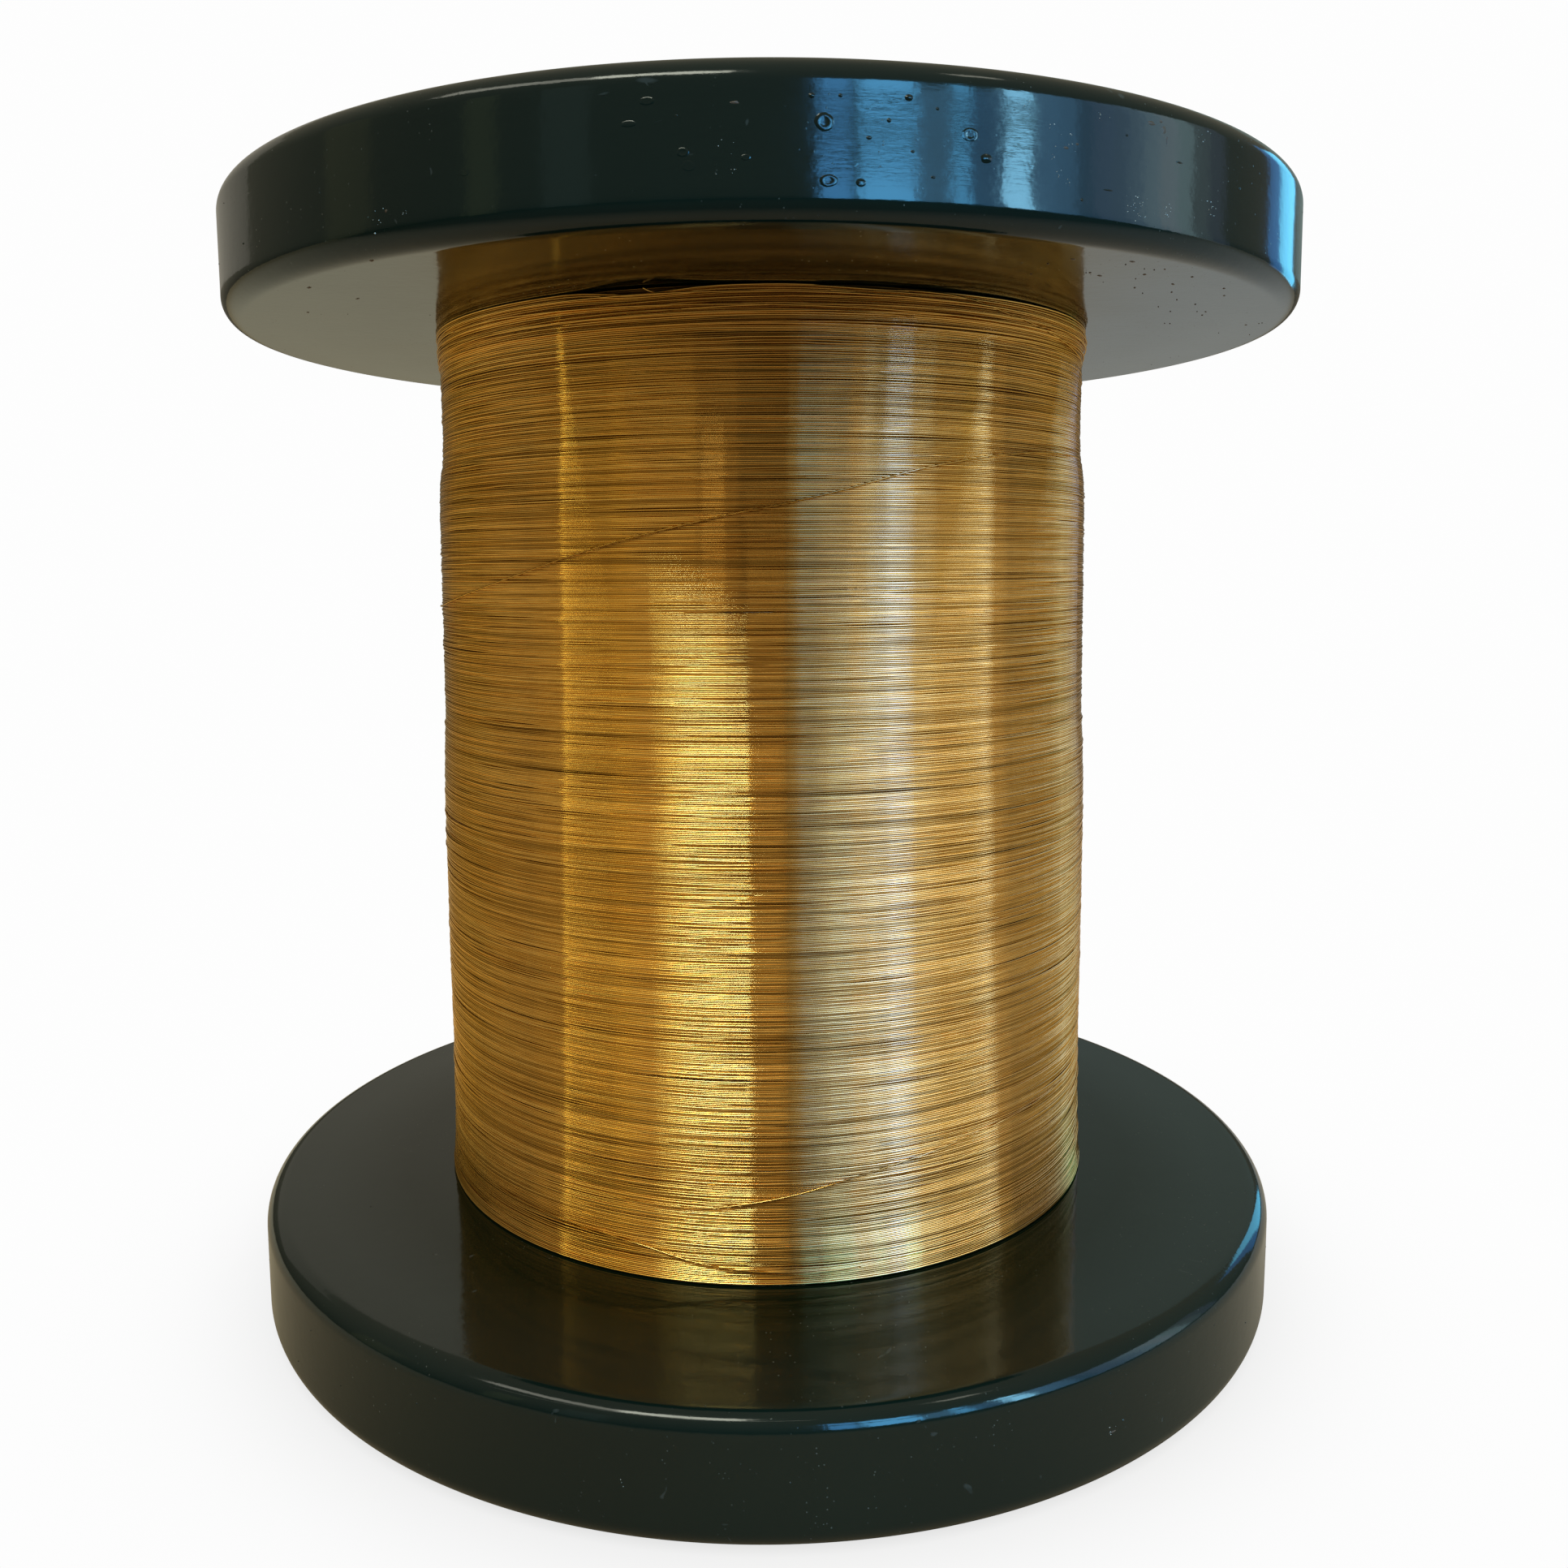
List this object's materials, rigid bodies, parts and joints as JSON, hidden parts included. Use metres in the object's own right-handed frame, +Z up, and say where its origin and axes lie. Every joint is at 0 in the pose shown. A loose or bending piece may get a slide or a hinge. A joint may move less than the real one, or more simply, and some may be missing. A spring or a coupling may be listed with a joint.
{
  "type": "wire spool",
  "caption": "Double-walled steel process reel with dark green enamelled flanges, wound with fine bare brass wire.",
  "frame": {"origin": "centre of the face that the reel stands on, on the reel axis", "axes": "+Z up along the reel axis, from the lower flange to the upper flange; +X through one of the two drive-pin holes; the wire entry hole is in the lower flange, 18.5 degrees from -Y towards -X"},
  "size_m": [0.25, 0.25, 0.256],
  "materials": {
    "enamel": "gloss",
    "bright_steel": "satin",
    "primed_steel": "matte",
    "brass_wire": "polished"
  },
  "bodies": {
    "root": {"lower_inner_wall": "enamel", "lower_outer_wall": "enamel", "lower_rim_ring": "primed_steel", "lower_ribs": "primed_steel", "lower_hub_ring": "enamel", "lower_shaft_bush": "bright_steel", "lower_drive_bushes": "bright_steel", "upper_inner_wall": "enamel", "upper_outer_wall": "enamel", "upper_rim_ring": "primed_steel", "upper_ribs": "primed_steel", "upper_hub_ring": "enamel", "upper_shaft_bush": "bright_steel", "upper_drive_bushes": "bright_steel", "barrel_tube": "primed_steel", "bore_tube": "primed_steel", "lower_barrel_disc": "primed_steel", "upper_barrel_disc": "primed_steel", "winding_inner_layers": "brass_wire", "winding_outer_layer": "brass_wire", "crossing_strands": "brass_wire", "wire_tail": "brass_wire", "wire_start": "brass_wire", "wire_entry_ferrule": "bright_steel"}
  },
  "joints": []
}
